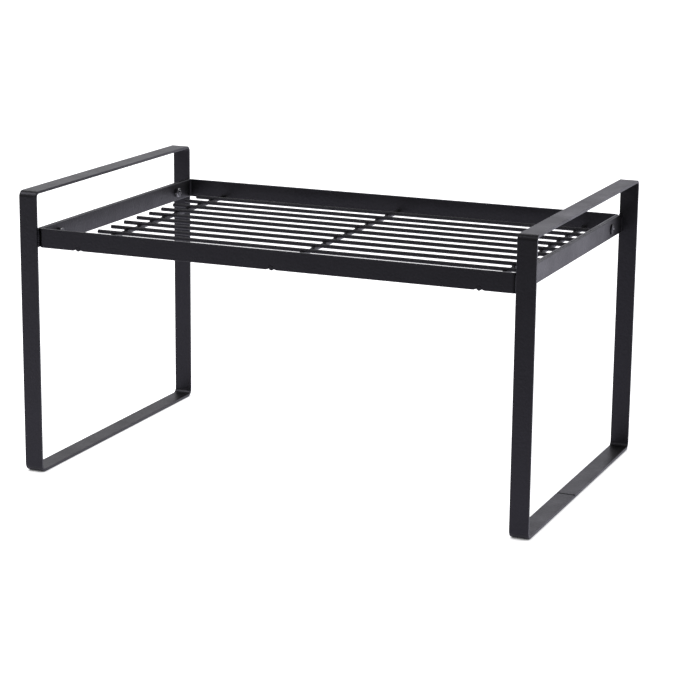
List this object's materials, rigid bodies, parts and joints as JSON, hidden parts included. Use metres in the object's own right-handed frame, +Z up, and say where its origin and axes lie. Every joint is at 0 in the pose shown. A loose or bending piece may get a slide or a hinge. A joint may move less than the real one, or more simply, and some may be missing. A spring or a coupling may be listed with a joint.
{
  "type": "kitchen storage shelf",
  "caption": "Low black steel shelf: a rimmed tray of parallel long wires on cross rods, held between two closed end frames of flat strip with crossbars, which serve as legs and as lifting handles.",
  "frame": {"origin": "on the ground, under the middle of the tray", "axes": "+X along the shelf's length to the right-hand end, -Y to its front, +Z up"},
  "size_m": [0.335, 0.21, 0.18],
  "materials": {
    "black_coating": "satin",
    "fasteners": "satin"
  },
  "bodies": {
    "root": {"left_end_frame": "black_coating", "right_end_frame": "black_coating", "left_crossbar": "black_coating", "right_crossbar": "black_coating", "tray_rim": "black_coating", "left_cross_rod": "black_coating", "centre_cross_rod": "black_coating", "right_cross_rod": "black_coating", "long_wire_01": "black_coating", "long_wire_02": "black_coating", "long_wire_03": "black_coating", "long_wire_04": "black_coating", "long_wire_05": "black_coating", "long_wire_06": "black_coating", "long_wire_07": "black_coating", "long_wire_08": "black_coating", "long_wire_09": "black_coating", "long_wire_10": "black_coating", "left_front_screw": "fasteners", "left_front_nut": "fasteners", "left_rear_screw": "fasteners", "left_rear_nut": "fasteners", "right_front_screw": "fasteners", "right_front_nut": "fasteners", "right_rear_screw": "fasteners", "right_rear_nut": "fasteners"}
  },
  "joints": []
}
